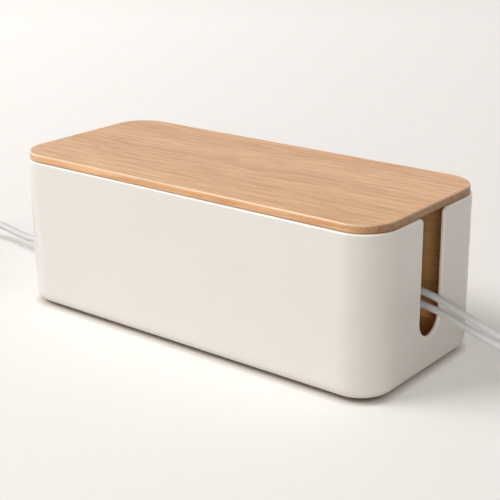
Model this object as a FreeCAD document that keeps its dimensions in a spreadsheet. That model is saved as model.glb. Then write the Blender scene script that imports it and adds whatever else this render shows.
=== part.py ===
import FreeCAD, Part
import math
import os
import Sketcher

# Cable management box: a moulded box with a wooden lid, a power strip inside and the leads that
# leave it. Millimetres. Origin on the surface the box stands on, under its middle.
# +X is the long way, towards the end with the two thin leads. +Z is up.

Vector = FreeCAD.Vector
Rotation = FreeCAD.Rotation
Placement = FreeCAD.Placement

doc = FreeCAD.newDocument("CableBox")
sheet = doc.addObject("Spreadsheet::Sheet", "Sizes")

# The driving dimensions, one row of the sheet each.
driving = {
    # box shell
    "box_length": 330, "box_width": 142, "rim_height": 117, "foot_gap": 1.5, "wall": 2.5,
    "corner_radius": 27, "bottom_round": 10, "rim_round": 1.2, "inner_round": 0.4,
    # cable slots in both end walls
    "slot_width": 27, "slot_bottom": 30, "slot_lip": 4.5,
    # feet, floor ribs, floor board and lining
    "foot_radius": 7, "foot_sink": 1, "foot_x": 130, "foot_y": 45, "rib_height": 4, "rib_width": 2,
    "rib_length": 270, "rib_y": 22, "board_thickness": 3, "board_gap": 1.2, "lining": 1.5,
    "lining_gap": 0.2, "lining_drop": 2, "lining_notch": 2.8,
    # lid
    "lid_thickness": 6, "lid_inset": 1.5, "lid_top_round": 1.2, "lid_low_round": 0.75,
    "cleat_length": 286, "cleat_width": 10, "cleat_height": 8, "cleat_gap": 1,
    "lid_screw_x": 120, "lid_screw_radius": 1.5, "lid_screw_head": 3, "lid_screw_length": 11,
    # power strip case
    "strip_left": 130, "strip_right": 56, "strip_width": 52, "strip_height": 42, "strip_seam": 29,
    "strip_wall": 2.2, "strip_corner": 6, "strip_edge": 2, "spare_x": -22,
    "well_radius": 19.75, "well_wall": 2, "well_depth": 17, "pin_spacing": 19, "pin_hole_radius": 2.6,
    # case screws and their posts
    "case_screw_inset": 7, "post_radius": 4, "case_screw_radius": 1.5, "case_screw_head": 3,
    # contacts
    "bar_lift": 4.5, "bar_left": 62, "bar_right": 72, "bar_width": 6, "bar_thickness": 1,
    "sleeve_radius": 3.4, "sleeve_bore": 2.1, "sleeve_height": 13,
    "clip_inset": 0.75, "clip_width": 5, "clip_thickness": 0.8,
    # shutters
    "shutter_thickness": 2.4, "shutter_end": 3.3, "shutter_hub": 3.6, "pivot_radius": 1.5,
    # rocker switch
    "switch_x": -108, "bezel_length": 27, "bezel_width": 17, "bezel_height": 1.5,
    "can_length": 23, "can_width": 13.4, "rocker_width": 12, "rocker_tilt": 8,
    # plugs in the strip
    "pin_radius": 2, "pin_length": 19, "plug_nose_width": 35, "plug_nose_thickness": 13.5,
    "plug_head_width": 37, "plug_head_thickness": 22, "plug_head_base": 54, "plug_head_top": 68,
    # cords
    "lead_diameter": 5, "mains_diameter": 6.5, "wire_diameter": 1.8, "relief_length": 14,
    "left_socket_x": -70, "right_socket_x": 26, "plug_exit_z": 61,
    "gland_z": 40, "gland_length": 23, "gland_neck": 5,
    # far ends
    "connector_relief": 9, "connector_length": 19, "lobe_radius": 4.5,
    "mains_plug_radius": 18.5, "mains_plug_height": 20, "mains_plug_relief": 20, "mains_pin_radius": 2.4,
}


class Size:
    """A length that keeps its number together with the sheet formula that gives it."""

    def __init__(self, number, formula):
        self.number = number
        self.formula = formula

    def __add__(self, other):
        other = as_size(other)
        return Size(self.number + other.number, f"({self.formula} + {other.formula})")

    def __sub__(self, other):
        other = as_size(other)
        return Size(self.number - other.number, f"({self.formula} - {other.formula})")

    def __mul__(self, factor):
        return Size(self.number * factor, f"({self.formula} * {factor!r})")

    def __truediv__(self, divisor):
        return Size(self.number / divisor, f"({self.formula} / {divisor!r})")

    def __neg__(self):
        return Size(-self.number, f"(-{self.formula})")

    __radd__ = __add__
    __rmul__ = __mul__

    def __rsub__(self, other):
        return as_size(other) - self


def as_size(value):
    if isinstance(value, Size):
        return value
    return Size(float(value), repr(float(value)))


def fill_sheet():
    """Write the driving dimensions into the sheet and give each its alias."""
    for row, (alias, number) in enumerate(driving.items(), 1):
        sheet.set(f"A{row}", alias)
        sheet.set(f"B{row}", str(number))
        sheet.setAlias(f"B{row}", alias)
    doc.recompute()


def size(alias):
    return Size(float(sheet.get(alias)), f"Sizes.{alias}")


def bind(item, **fields):
    """Bind fields of a document object to the sheet; a double underscore stands for a dot."""
    for field, value in fields.items():
        item.setExpression(field.replace("__", "."), as_size(value).formula)


def place(item, x=0, y=0, z=0, rotation=None):
    """Put an object at sizes from the sheet, turned if a rotation is given."""
    x, y, z = as_size(x), as_size(y), as_size(z)
    turn = rotation or Rotation()
    item.Placement = Placement(Vector(x.number, y.number, z.number), turn)
    bind(item, Placement__Base__x=x, Placement__Base__y=y, Placement__Base__z=z)
    return item


# Primitives and booleans, each sized from the sheet.
along_x = Rotation(Vector(0, 1, 0), 90)
along_y = Rotation(Vector(1, 0, 0), -90)


def block(name, x, y, z, length, width, height):
    """A box centred on x and y that stands on z."""
    item = doc.addObject("Part::Box", name)
    bind(item, Length=length, Width=width, Height=height)
    return place(item, as_size(x) - as_size(length) / 2, as_size(y) - as_size(width) / 2, z)


def cylinder(name, x, y, z, radius, height, rotation=None):
    item = doc.addObject("Part::Cylinder", name)
    bind(item, Radius=radius, Height=height)
    return place(item, x, y, z, rotation)


def cone(name, x, y, z, radius_start, radius_end, height, rotation=None):
    item = doc.addObject("Part::Cone", name)
    bind(item, Radius1=radius_start, Radius2=radius_end, Height=height)
    return place(item, x, y, z, rotation)


def fuse(name, *items):
    item = doc.addObject("Part::MultiFuse", name)
    item.Shapes = list(items)
    item.Refine = True
    return item


def cut(name, base, *tools):
    tool = tools[0] if len(tools) == 1 else fuse(name + "_tools", *tools)
    item = doc.addObject("Part::Cut", name)
    item.Base = base
    item.Tool = tool
    item.Refine = True
    return item


def rounded(name, base, radius, chosen):
    """Round the edges of base that the test picks."""
    doc.recompute()
    item = doc.addObject("Part::Fillet", name)
    item.Base = base
    numbers = [n for n, edge in enumerate(base.Shape.Edges, 1) if chosen(edge)]
    item.Edges = [(n, radius, radius) for n in numbers]
    doc.recompute()
    return item


# Bodies and sketches.
def body(name):
    return doc.addObject("PartDesign::Body", name)


def sketch(owner, name, role, lift=0):
    """A sketch on one of the body's own origin planes, lifted along that plane's normal."""
    plane = [item for item in owner.Origin.OriginFeatures if item.Role == role][0]
    item = owner.newObject("Sketcher::SketchObject", name)
    item.AttachmentSupport = [(plane, "")]
    item.MapMode = "FlatFace"
    bind(item, AttachmentOffset__Base__z=lift)
    return item


def dimension(drawing, kind, where, value, label):
    """Add a driving dimension to a sketch and bind it to the sheet."""
    value = as_size(value)
    number = drawing.addConstraint(Sketcher.Constraint(kind, *where, value.number))
    drawing.renameConstraint(number, label)
    drawing.setExpression("Constraints." + label, value.formula)


def line(drawing, start, end):
    return drawing.addGeometry(Part.LineSegment(Vector(*start, 0), Vector(*end, 0)), False)


def arc(drawing, centre, radius, start_degrees, end_degrees):
    circle = Part.Circle(Vector(*centre, 0), Vector(0, 0, 1), radius)
    ends = (math.radians(start_degrees), math.radians(end_degrees))
    return drawing.addGeometry(Part.ArcOfCircle(circle, *ends), False)


def draw_rounded_rectangle(drawing, length, width, corner):
    """A rectangle about the sketch's origin with four equal round corners."""
    length, width, corner = as_size(length), as_size(width), as_size(corner)
    x, y, r = length.number / 2, width.number / 2, corner.number
    sides = [
        line(drawing, (r - x, -y), (x - r, -y)),
        line(drawing, (x, r - y), (x, y - r)),
        line(drawing, (x - r, y), (r - x, y)),
        line(drawing, (-x, y - r), (-x, r - y)),
    ]
    centres = [(x - r, r - y), (x - r, y - r), (r - x, y - r), (r - x, r - y)]
    corners = [arc(drawing, c, r, 90 * n - 90, 90 * n) for n, c in enumerate(centres)]
    for n in range(4):
        drawing.addConstraint(Sketcher.Constraint("Tangent", sides[n], 2, corners[n], 1))
        drawing.addConstraint(Sketcher.Constraint("Tangent", corners[n], 2, sides[(n + 1) % 4], 1))
    for n, direction in enumerate(["Horizontal", "Vertical", "Horizontal", "Vertical"]):
        drawing.addConstraint(Sketcher.Constraint(direction, sides[n]))
    for n in range(3):
        drawing.addConstraint(Sketcher.Constraint("Equal", corners[n], corners[n + 1]))
    drawing.addConstraint(Sketcher.Constraint("Symmetric", corners[0], 3, corners[2], 3, -1, 1))
    dimension(drawing, "Radius", (corners[0],), corner, "corner")
    dimension(drawing, "DistanceX", (sides[3], 1, sides[1], 1), length, "length")
    dimension(drawing, "DistanceY", (sides[0], 1, sides[2], 1), width, "width")


def draw_circle(drawing, x, y, radius):
    x, y, radius = as_size(x), as_size(y), as_size(radius)
    circle = Part.Circle(Vector(x.number, y.number, 0), Vector(0, 0, 1), radius.number)
    number = drawing.addGeometry(circle, False)
    dimension(drawing, "Radius", (number,), radius, f"radius_{number}")
    dimension(drawing, "DistanceX", (-1, 1, number, 3), x, f"x_{number}")
    dimension(drawing, "DistanceY", (-1, 1, number, 3), y, f"y_{number}")


def pad(owner, name, drawing, length):
    item = owner.newObject("PartDesign::Pad", name)
    item.Profile = drawing
    bind(item, Length=length)
    doc.recompute()
    return item


def pocket(owner, name, drawing, depth, reverse=False, both_ways=False):
    """Cut a sketch out of the body, both ways from the sketch where asked."""
    before = owner.Shape.Volume
    item = owner.newObject("PartDesign::Pocket", name)
    item.Profile = drawing
    item.Reversed = reverse
    if both_ways:
        item.SideType = "Symmetric"
    bind(item, Length=depth)
    doc.recompute()
    assert owner.Shape.Volume < before - 1, name + " cut nothing"
    return item


def fillet(owner, name, base, radius, chosen):
    """Round the edges of a feature that the test picks."""
    item = owner.newObject("PartDesign::Fillet", name)
    item.Base = (base, [f"Edge{n}" for n, edge in enumerate(base.Shape.Edges, 1) if chosen(edge)])
    bind(item, Radius=radius)
    doc.recompute()
    return item


def flat_at(edge, axis, level):
    """True where an edge lies in the plane that crosses the axis at the level."""
    box = edge.BoundBox
    low, high = getattr(box, axis + "Min"), getattr(box, axis + "Max")
    return abs(low - level) < 1e-4 and abs(high - level) < 1e-4


def rounded_block(name, length, width, corner, low, height):
    """A body that is one padded rounded rectangle; the caller adds the rest."""
    owner = body(name)
    drawing = sketch(owner, name + "_outline", "XY_Plane", low)
    draw_rounded_rectangle(drawing, length, width, corner)
    return owner, pad(owner, name + "_block", drawing, height)


# The finished sub-parts, by the name of their file.
finished = {}


def finish(item, label):
    item.Label = label
    finished[label] = item
    return item


fill_sheet()

# Sizes that several sub-parts share.
half_length = size("box_length") / 2
half_width = size("box_width") / 2
floor_top = size("foot_gap") + size("wall")
board_base = floor_top + size("rib_height")
board_top = board_base + size("board_thickness")
slot_half = size("slot_width") / 2
slot_centre = size("slot_bottom") + slot_half


def draw_slot(drawing, half, low_centre, top, lip):
    """A slot with a round bottom whose top corners flare out in quarter rounds."""
    half, low_centre, top, lip = as_size(half), as_size(low_centre), as_size(top), as_size(lip)
    h, c, t, r = half.number, low_centre.number, top.number, lip.number
    above = t + 10
    left = line(drawing, (-h, t - r), (-h, c))
    bottom = arc(drawing, (0, c), h, 180, 360)
    right = line(drawing, (h, c), (h, t - r))
    right_lip = arc(drawing, (h + r, t - r), r, 90, 180)
    right_up = line(drawing, (h + r, t), (h + r, above))
    over = line(drawing, (h + r, above), (-h - r, above))
    left_up = line(drawing, (-h - r, above), (-h - r, t))
    left_lip = arc(drawing, (-h - r, t - r), r, 0, 90)
    add = drawing.addConstraint
    add(Sketcher.Constraint("Tangent", left, 2, bottom, 1))
    add(Sketcher.Constraint("Tangent", bottom, 2, right, 1))
    add(Sketcher.Constraint("Tangent", right, 2, right_lip, 2))
    add(Sketcher.Constraint("Coincident", right_lip, 1, right_up, 1))
    add(Sketcher.Constraint("Coincident", right_up, 2, over, 1))
    add(Sketcher.Constraint("Coincident", over, 2, left_up, 1))
    add(Sketcher.Constraint("Coincident", left_up, 2, left_lip, 2))
    add(Sketcher.Constraint("Tangent", left_lip, 1, left, 1))
    add(Sketcher.Constraint("Vertical", left))
    add(Sketcher.Constraint("Vertical", right_up))
    add(Sketcher.Constraint("Vertical", left_up))
    add(Sketcher.Constraint("Horizontal", over))
    add(Sketcher.Constraint("PointOnObject", bottom, 3, -2))
    add(Sketcher.Constraint("Vertical", right_lip, 3, right_lip, 1))
    add(Sketcher.Constraint("Vertical", left_lip, 3, left_lip, 2))
    add(Sketcher.Constraint("Equal", right_lip, left_lip))
    add(Sketcher.Constraint("Horizontal", right_lip, 3, left_lip, 3))
    dimension(drawing, "Radius", (bottom,), half, "half")
    dimension(drawing, "Radius", (right_lip,), lip, "lip")
    dimension(drawing, "DistanceY", (-1, 1, bottom, 3), low_centre, "low_centre")
    dimension(drawing, "DistanceY", (-1, 1, right_lip, 1), top, "top")
    dimension(drawing, "DistanceY", (-1, 1, over, 1), top + 10, "above")


def make_box_shell():
    """The moulded box: rounded plan corners, a rounded lower edge and a cable slot in each end."""
    height = size("rim_height") - size("foot_gap")
    length, width, corner = size("box_length"), size("box_width"), size("corner_radius")
    shell, outside = rounded_block("box_shell", length, width, corner, size("foot_gap"), height)
    low = size("foot_gap").number
    outside = fillet(shell, "lower_edge", outside, size("bottom_round"), lambda e: flat_at(e, "Z", low))

    rim = size("rim_height").number
    wall = size("wall")
    top_face = [f"Face{n}" for n, face in enumerate(outside.Shape.Faces, 1) if flat_at(face, "Z", rim)]
    hollow = shell.newObject("PartDesign::Thickness", "hollow")
    hollow.Base = (outside, top_face)
    hollow.Reversed = True
    hollow.Join = "Intersection"
    bind(hollow, Value=wall)
    doc.recompute()

    slot = sketch(shell, "slot_outline", "YZ_Plane")
    draw_slot(slot, slot_half, slot_centre, size("rim_height"), size("slot_lip"))
    slots = pocket(shell, "slots", slot, length * 1.1, both_ways=True)

    x_out = half_length.number
    x_in = x_out - wall.number
    y_out = half_width.number

    def on_outside(edge):
        box = edge.BoundBox
        at_end = flat_at(edge, "X", x_out) or flat_at(edge, "X", -x_out)
        if at_end and abs(box.YMin) < 20 and abs(box.YMax) < 20 and box.ZMax > 29 and box.ZMin > 28:
            return True
        if not flat_at(edge, "Z", rim):
            return False
        middle = edge.valueAt((edge.FirstParameter + edge.LastParameter) / 2)
        return on_rounded_rectangle(middle, x_out, y_out, corner.number)

    def on_inside(edge):
        box = edge.BoundBox
        at_end = flat_at(edge, "X", x_in) or flat_at(edge, "X", -x_in)
        if at_end and abs(box.YMin) < 20 and abs(box.YMax) < 20 and box.ZMin > 28:
            return True
        if not flat_at(edge, "Z", rim):
            return False
        middle = edge.valueAt((edge.FirstParameter + edge.LastParameter) / 2)
        inner = corner.number - wall.number
        return on_rounded_rectangle(middle, x_in, y_out - wall.number, inner)

    outer_rim = fillet(shell, "rim_outer_edge", slots, size("rim_round"), on_outside)
    inner_rim = fillet(shell, "rim_inner_edge", outer_rim, size("inner_round"), on_inside)

    recess = sketch(shell, "foot_recesses_outline", "XY_Plane", size("foot_gap"))
    for x, y in corners_of(size("foot_x"), size("foot_y")):
        draw_circle(recess, x, y, size("foot_radius") + 0.2)
    pocket(shell, "foot_recesses", recess, size("foot_sink"), reverse=True)

    for n, y in enumerate([-size("rib_y") * 2, -size("rib_y"), size("rib_y"), size("rib_y") * 2]):
        rib = sketch(shell, f"floor_rib_{n}_outline", "XY_Plane", floor_top)
        draw_rectangle(rib, 0, y, size("rib_length"), size("rib_width"))
        pad(shell, f"floor_rib_{n}", rib, size("rib_height"))
    finish(shell, "box_shell")


def on_rounded_rectangle(point, half_x, half_y, corner):
    """True where a point is on the outline of a rounded rectangle about the origin."""
    x, y = abs(point.x), abs(point.y)
    if x > half_x - corner and y > half_y - corner:
        reach = math.hypot(x - half_x + corner, y - half_y + corner)
        return abs(reach - corner) < 1e-3
    return abs(x - half_x) < 1e-3 or abs(y - half_y) < 1e-3


def corners_of(x, y):
    return [(x * sx, y * sy) for sx in (-1, 1) for sy in (-1, 1)]


def draw_rectangle(drawing, x, y, length, width):
    """A plain rectangle centred on x and y."""
    x, y, length, width = as_size(x), as_size(y), as_size(length), as_size(width)
    left, right = x.number - length.number / 2, x.number + length.number / 2
    low, high = y.number - width.number / 2, y.number + width.number / 2
    ring = [(left, low), (right, low), (right, high), (left, high)]
    sides = [line(drawing, ring[n], ring[(n + 1) % 4]) for n in range(4)]
    for n in range(4):
        drawing.addConstraint(Sketcher.Constraint("Coincident", sides[n], 2, sides[(n + 1) % 4], 1))
    for n, direction in enumerate(["Horizontal", "Vertical", "Horizontal", "Vertical"]):
        drawing.addConstraint(Sketcher.Constraint(direction, sides[n]))
    dimension(drawing, "DistanceX", (-1, 1, sides[0], 1), x - length / 2, f"left_{sides[0]}")
    dimension(drawing, "DistanceX", (-1, 1, sides[0], 2), x + length / 2, f"right_{sides[0]}")
    dimension(drawing, "DistanceY", (-1, 1, sides[0], 1), y - width / 2, f"low_{sides[0]}")
    dimension(drawing, "DistanceY", (-1, 1, sides[2], 1), y + width / 2, f"high_{sides[0]}")


def report_failures():
    """Stop where any object failed to recompute or any sub-part has no valid shape."""
    doc.recompute()
    bad = [item.Name for item in doc.Objects if "Invalid" in item.State or "Error" in item.State]
    assert not bad, "failed: " + ", ".join(bad)
    for label, item in finished.items():
        assert not item.Shape.isNull() and item.Shape.isValid(), label + " has no valid shape"


def make_floor_board():
    """The thin board that lies on the floor ribs and carries the power strip."""
    gap = size("wall") + size("board_gap")
    length, width = size("box_length") - gap * 2, size("box_width") - gap * 2
    corner = size("corner_radius") - gap
    board, _ = rounded_block("floor_board", length, width, corner, board_base, size("board_thickness"))
    finish(board, "floor_board")


def make_lining():
    """Two C-shaped wooden halves that cover the inside of the wall, notched at the cable slots."""
    out = size("wall") + size("lining_gap")
    top = size("rim_height") - size("lining_drop")
    notch_half = slot_half + size("lining_notch")
    for label, side in (("lining_front", -1), ("lining_back", 1)):
        length, width = size("box_length") - out * 2, size("box_width") - out * 2
        corner = size("corner_radius") - out
        half, block_pad = rounded_block(label, length, width, corner, board_top, top - board_top)
        hollow = sketch(half, label + "_hollow_outline", "XY_Plane", top)
        skin = size("lining") * 2
        draw_rounded_rectangle(hollow, length - skin, width - skin, corner - size("lining"))
        pocket(half, label + "_hollow", hollow, size("rim_height"))
        notch = sketch(half, label + "_notch_outline", "YZ_Plane")
        draw_slot(notch, notch_half, slot_centre, top + 10, 1)
        pocket(half, label + "_notch", notch, size("box_length") * 1.1, both_ways=True)
        away = sketch(half, label + "_split_outline", "XY_Plane", top)
        draw_rectangle(away, 0, -side * (half_width - 0.1), size("box_length"), size("box_width"))
        pocket(half, label + "_split", away, size("rim_height"))
        finish(half, label)


def make_feet():
    """Four rubber feet, each a tapered disc seated in a recess under the box."""
    high = size("foot_gap") + size("foot_sink")
    names = ("foot_left_front", "foot_left_back", "foot_right_front", "foot_right_back")
    for label, (x, y) in zip(names, corners_of(size("foot_x"), size("foot_y"))):
        radius = size("foot_radius")
        foot = cone(label + "_rubber", x, y, 0, radius - 0.8, radius, size("foot_gap"))
        plug = cylinder(label + "_seat", x, y, size("foot_gap"), radius, high - size("foot_gap"))
        finish(fuse(label, foot, plug), label)


def make_lid():
    """The wooden lid panel with its two cleats and the screws that hold them."""
    length = size("box_length") - size("lid_inset") * 2
    width = size("box_width") - size("lid_inset") * 2
    corner = size("corner_radius") - size("lid_inset")
    thick = size("lid_thickness")
    base = size("rim_height")
    lid, panel = rounded_block("lid_panel", length, width, corner, base, thick)
    top, low = (base + thick).number, base.number
    panel = fillet(lid, "lid_top_edge", panel, size("lid_top_round"), lambda e: flat_at(e, "Z", top))
    fillet(lid, "lid_low_edge", panel, size("lid_low_round"), lambda e: flat_at(e, "Z", low))
    screw_y = half_width - size("wall") - size("lining_gap") - size("lining") - size("cleat_gap")
    screw_y = screw_y - size("cleat_width") / 2
    screw_xs = (-size("lid_screw_x"), as_size(0), size("lid_screw_x"))
    places = [(x, screw_y * side) for side in (-1, 1) for x in screw_xs]
    hole_radius = size("lid_screw_radius") + 0.1
    sink_radius = size("lid_screw_head") + 0.2
    holes = sketch(lid, "lid_screw_holes_outline", "XY_Plane", base)
    for x, y in places:
        draw_circle(holes, x, y, hole_radius)
    pocket(lid, "lid_screw_holes", holes, thick - 1.5, reverse=True)
    finish(lid, "lid_panel")

    under = base - size("cleat_height")
    head_height = size("lid_screw_head") / 1.5
    for label, side in (("lid_cleat_front", -1), ("lid_cleat_back", 1)):
        bar = block(label + "_bar", 0, screw_y * side, under, size("cleat_length"), size("cleat_width"),
                    size("cleat_height"))
        bar = rounded(label + "_ends", bar, 3, lambda e: e.BoundBox.ZLength > 1)
        tools = []
        for n, (x, y) in enumerate(item for item in places if item[1].number * side > 0):
            tools.append(cylinder(f"{label}_hole_{n}", x, y, under - 1, hole_radius, 12))
            tools.append(cylinder(f"{label}_sink_{n}", x, y, under, sink_radius, head_height))
        finish(cut(label, bar, *tools), label)

    screws = []
    for n, (x, y) in enumerate(places):
        head = cylinder(f"lid_screw_head_{n}", x, y, under, size("lid_screw_head"), head_height)
        shank = cylinder(f"lid_screw_shank_{n}", x, y, under + head_height, size("lid_screw_radius"),
                         size("lid_screw_length") - head_height)
        slot = block(f"lid_screw_slot_{n}", x, y, under - 0.1, 4.5, 0.9, 0.9)
        screws.append(cut(f"lid_screw_{n}", fuse(f"lid_screw_blank_{n}", head, shank), slot))
    group = doc.addObject("Part::Compound", "lid_screws")
    group.Links = screws
    finish(group, "lid_screws")


# Power strip. Its pieces are drawn about the strip's own middle and then moved to it.
strip_length = size("strip_left") + size("strip_right")
strip_middle = (size("strip_right") - size("strip_left")) / 2
seam = board_top + size("strip_seam")
strip_top = board_top + size("strip_height")
socket_places = [size("left_socket_x"), size("spare_x"), size("right_socket_x")]
well_floor = strip_top - size("well_depth")
half_pins = size("pin_spacing") / 2
bar_base = board_top + size("bar_lift")
clip_reach = size("well_radius") - size("clip_inset")


def case_screw_places():
    inset = size("case_screw_inset")
    return corners_of(strip_length / 2 - inset, size("strip_width") / 2 - inset)


def make_strip_base():
    """The lower half of the strip's case, with screw posts and the ledges that carry the bars."""
    length, width, corner = strip_length, size("strip_width"), size("strip_corner")
    wall = size("strip_wall")
    base, shape = rounded_block("strip_base_body", length, width, corner, board_top, size("strip_seam"))
    low = board_top.number
    shape = fillet(base, "strip_base_edge", shape, size("strip_edge"), lambda e: flat_at(e, "Z", low))
    hollow = sketch(base, "strip_base_hollow_outline", "XY_Plane", seam)
    draw_rounded_rectangle(hollow, length - wall * 2, width - wall * 2, corner - wall)
    pocket(base, "strip_base_hollow", hollow, size("strip_seam") - 2.5)
    posts = sketch(base, "strip_base_posts_outline", "XY_Plane", board_top + 2)
    for x, y in case_screw_places():
        draw_circle(posts, x, y, size("post_radius"))
    pad(base, "strip_base_posts", posts, size("strip_seam") - 2)
    for n, x in enumerate((-50, -9, 39)):
        ledge = sketch(base, f"bar_ledge_{n}_outline", "XY_Plane", board_top + 2.5)
        draw_rectangle(ledge, x, 0, 2, 30)
        pad(base, f"bar_ledge_{n}", ledge, 2)
    holes = sketch(base, "case_screw_holes_outline", "XY_Plane", seam)
    sinks = sketch(base, "case_screw_sinks_outline", "XY_Plane", board_top + 3)
    for x, y in case_screw_places():
        draw_circle(holes, x, y, size("case_screw_radius") + 0.2)
        draw_circle(sinks, x, y, size("case_screw_head") + 0.2)
    pocket(base, "case_screw_holes", holes, size("strip_height"))
    pocket(base, "case_screw_sinks", sinks, 10)
    place(base, strip_middle)
    finish(cut("strip_base", base, gland_neck("strip_base")), "strip_base")


def gland_neck(name):
    """The round hole through the case's end wall that the gland's neck fills."""
    x, radius = -size("strip_left") - 1, size("gland_neck") + 0.1
    return cylinder(name + "_gland_hole", x, 0, size("gland_z"), radius, size("strip_wall") + 2, along_x)


def make_strip_cover():
    """The upper half of the strip's case, with three round wells and the switch opening."""
    length, width, corner = strip_length, size("strip_width"), size("strip_corner")
    wall, height = size("strip_wall"), size("strip_height") - size("strip_seam")
    cover, shape = rounded_block("strip_cover_body", length, width, corner, seam, height)
    top = strip_top.number
    fillet(cover, "strip_cover_edge", shape, size("strip_edge"), lambda e: flat_at(e, "Z", top))
    hollow = sketch(cover, "strip_cover_hollow_outline", "XY_Plane", seam)
    draw_rounded_rectangle(hollow, length - wall * 2, width - wall * 2, corner - wall)
    pocket(cover, "strip_cover_hollow", hollow, height - 2.5, reverse=True)
    wells = sketch(cover, "well_walls_outline", "XY_Plane", well_floor - size("well_wall"))
    bores = sketch(cover, "wells_outline", "XY_Plane", strip_top)
    pins = sketch(cover, "pin_holes_outline", "XY_Plane", strip_top)
    pivots = sketch(cover, "shutter_pivots_outline", "XY_Plane", well_floor - size("well_wall") - 3.4)
    posts = sketch(cover, "strip_cover_posts_outline", "XY_Plane", seam)
    holes = sketch(cover, "strip_cover_screw_holes_outline", "XY_Plane", seam)
    for centre in socket_places:
        x = centre - strip_middle
        draw_circle(wells, x, 0, size("well_radius") + size("well_wall"))
        draw_circle(bores, x, 0, size("well_radius"))
        draw_circle(pins, x, half_pins, size("pin_hole_radius"))
        draw_circle(pins, x, -half_pins, size("pin_hole_radius"))
        draw_circle(pivots, x, 0, size("pivot_radius"))
    for x, y in case_screw_places():
        draw_circle(posts, x, y, size("post_radius"))
        draw_circle(holes, x, y, size("case_screw_radius") + 0.1)
    pad(cover, "well_walls", wells, size("well_depth") + size("well_wall"))
    pad(cover, "strip_cover_posts", posts, height - 1)
    pocket(cover, "wells", bores, size("well_depth"))
    pocket(cover, "pin_holes", pins, size("well_depth") + 4)
    pad(cover, "shutter_pivots", pivots, 4)
    pocket(cover, "strip_cover_screw_holes", holes, height - 3, reverse=True)
    slots = sketch(cover, "earth_clip_slots_outline", "XY_Plane", well_floor + 0.5)
    for centre in socket_places:
        for side in (-1, 1):
            draw_rectangle(slots, centre - strip_middle + clip_reach * side, 0, 1.6, 6.4)
    pocket(cover, "earth_clip_slots", slots, 3)
    opening = sketch(cover, "switch_opening_outline", "XY_Plane", strip_top)
    draw_rectangle(opening, size("switch_x") - strip_middle, 0, 23.4, 13.8)
    pocket(cover, "switch_opening", opening, 4)
    place(cover, strip_middle)
    finish(cut("strip_cover", cover, gland_neck("strip_cover")), "strip_cover")


def make_case_screws():
    """Four screws that come up through the base into the cover's posts."""
    screws = []
    for n, (x, y) in enumerate(case_screw_places()):
        x = x + strip_middle
        head = cylinder(f"case_screw_head_{n}", x, y, board_top + 0.6, size("case_screw_head"), 2.4)
        shank = cylinder(f"case_screw_shank_{n}", x, y, board_top + 3, size("case_screw_radius"),
                         size("strip_seam") + 5)
        screws.append(fuse(f"case_screw_{n}", head, shank))
    group = doc.addObject("Part::Compound", "strip_screws")
    group.Links = screws
    finish(group, "strip_screws")


def make_contacts():
    """Live and neutral bars with a sleeve under each pin hole, and the earth bar with its clips."""
    thick, width, high = size("bar_thickness"), size("bar_width"), size("sleeve_height")
    outer, inner = size("sleeve_radius"), size("sleeve_bore")
    start, end = strip_middle - size("bar_left"), strip_middle + size("bar_right")
    middle, length, z = (start + end) / 2, end - start, bar_base + thick
    for label, side in (("live_bar", 1), ("neutral_bar", -1)):
        y = half_pins * side
        parts = [block(label + "_strip", middle, y, bar_base, length, width, thick)]
        bores = []
        for n, x in enumerate(socket_places):
            parts.append(cylinder(f"{label}_sleeve_{n}", x, y, z, outer, high))
            bores.append(cylinder(f"{label}_bore_{n}", x, y, z, inner, high + 1))
        finish(cut(label, fuse(label + "_blank", *parts), *bores), label)

    width = size("clip_width")
    start, end = socket_places[0] - clip_reach - 8, socket_places[2] + clip_reach + 0.4
    parts = [block("earth_bar_strip", (start + end) / 2, 0, bar_base, end - start, width, thick)]
    for n, x in enumerate(socket_places):
        for side in (-1, 1):
            parts.append(block(f"earth_clip_{n}_{side + 1}", x + clip_reach * side, 0, bar_base,
                               size("clip_thickness"), width, size("strip_height") - 9))
    finish(fuse("earth_bar", *parts), "earth_bar")


def make_shutters():
    """A turning shutter under each well: closed in the spare one, pushed aside where a plug is in."""
    z, thick = well_floor - size("well_wall") - 2.7, size("shutter_thickness")
    turns = {"shutter_left": 40, "shutter_spare": 0, "shutter_right": 40}
    for x, (label, turned) in zip(socket_places, turns.items()):
        arm = block(label + "_arm", 0, 0, 0, 5, size("pin_spacing"), thick)
        ends = [cylinder(f"{label}_end_{n}", 0, half_pins * side, 0, size("shutter_end"), thick)
                for n, side in enumerate((-1, 1))]
        hub = cylinder(label + "_hub", 0, 0, 0, size("shutter_hub"), thick)
        bore = cylinder(label + "_bore", 0, 0, -1, size("pivot_radius") + 0.05, 5)
        shutter = cut(label, fuse(label + "_blank", arm, hub, *ends), bore)
        place(shutter, x, 0, z, Rotation(Vector(0, 0, 1), turned))
        finish(shutter, label)


def draw_polygon(drawing, points):
    """A closed ring of straight sides, each corner dimensioned from the sketch's origin."""
    points = [(as_size(x), as_size(y)) for x, y in points]
    count = len(points)
    sides = []
    for n in range(count):
        start, end = points[n], points[(n + 1) % count]
        sides.append(line(drawing, (start[0].number, start[1].number), (end[0].number, end[1].number)))
    for n in range(count):
        drawing.addConstraint(Sketcher.Constraint("Coincident", sides[n], 2, sides[(n + 1) % count], 1))
        dimension(drawing, "DistanceX", (-1, 1, sides[n], 1), points[n][0], f"x_{sides[n]}")
        dimension(drawing, "DistanceY", (-1, 1, sides[n], 1), points[n][1], f"y_{sides[n]}")


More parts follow.
